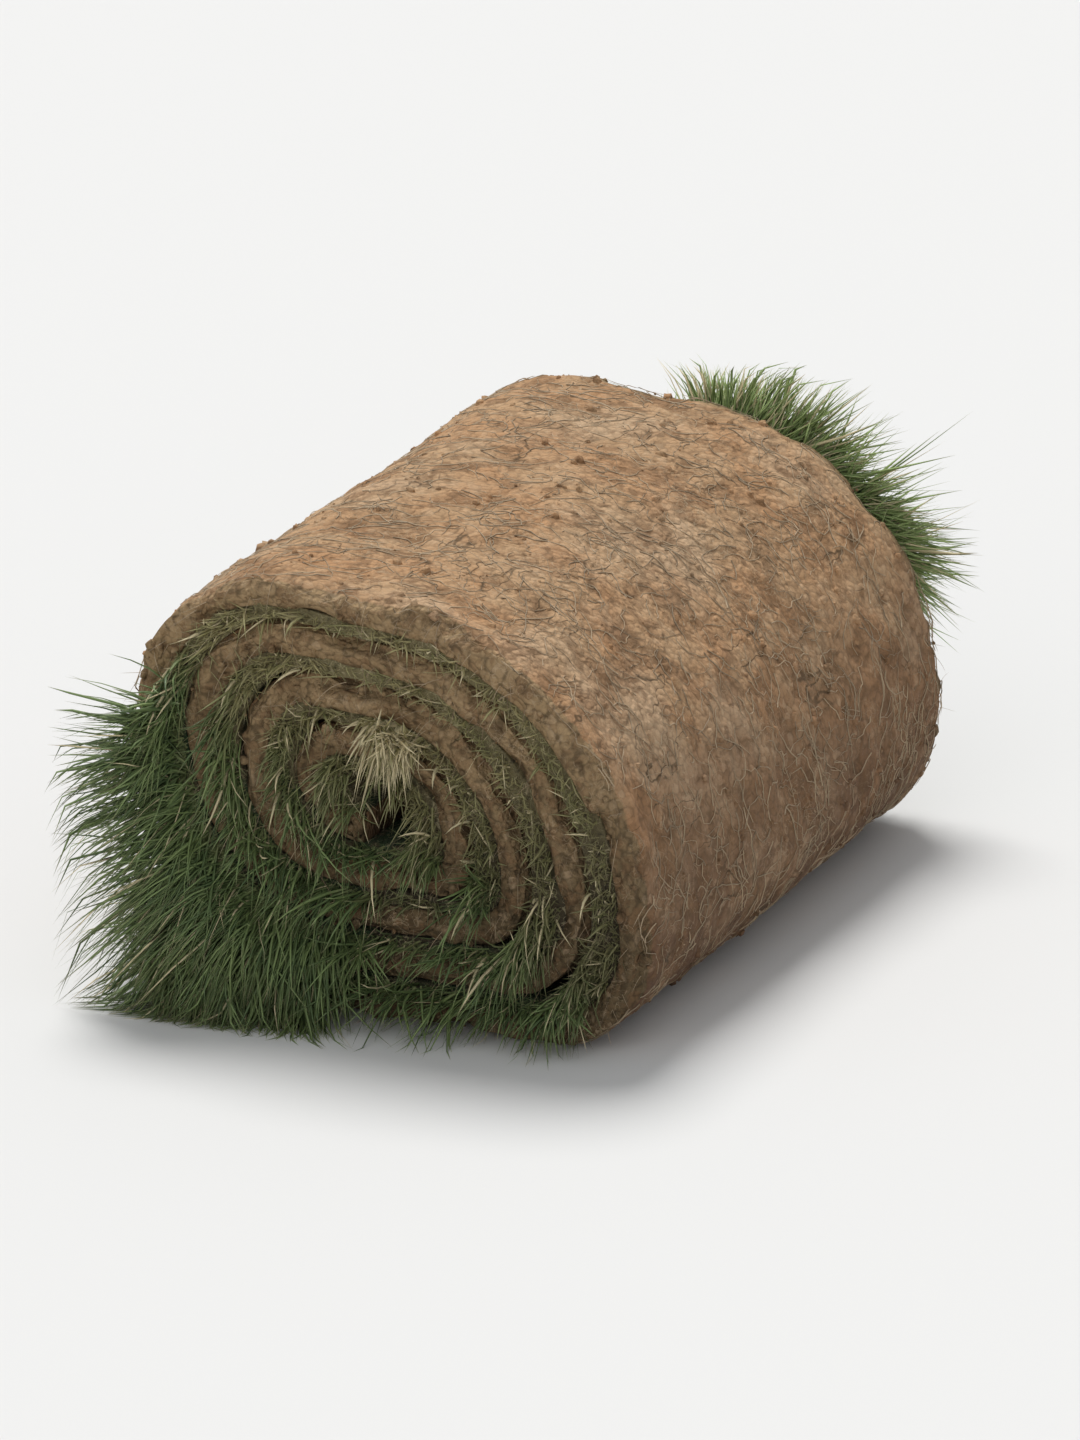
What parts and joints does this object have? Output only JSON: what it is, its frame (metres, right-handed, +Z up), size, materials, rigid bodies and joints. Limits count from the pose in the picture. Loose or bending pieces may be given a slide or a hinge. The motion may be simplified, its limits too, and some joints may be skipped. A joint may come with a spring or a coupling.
{
  "type": "roll of turf",
  "caption": "Strip of cut lawn turf, rolled up grass side in, lying slumped on its side with grass standing out at both ends.",
  "frame": {"origin": "on the ground, under the middle of the roll", "axes": "+Y along the roll's axis, +X across it, +Z up"},
  "size_m": [0.2958, 0.466, 0.2217],
  "materials": {
    "soil": "dry crumbly soil bound by fine roots",
    "grass": "dense pressed grass"
  },
  "bodies": {
    "root": {"soil_and_roots": "soil", "grass": "grass"}
  },
  "joints": []
}
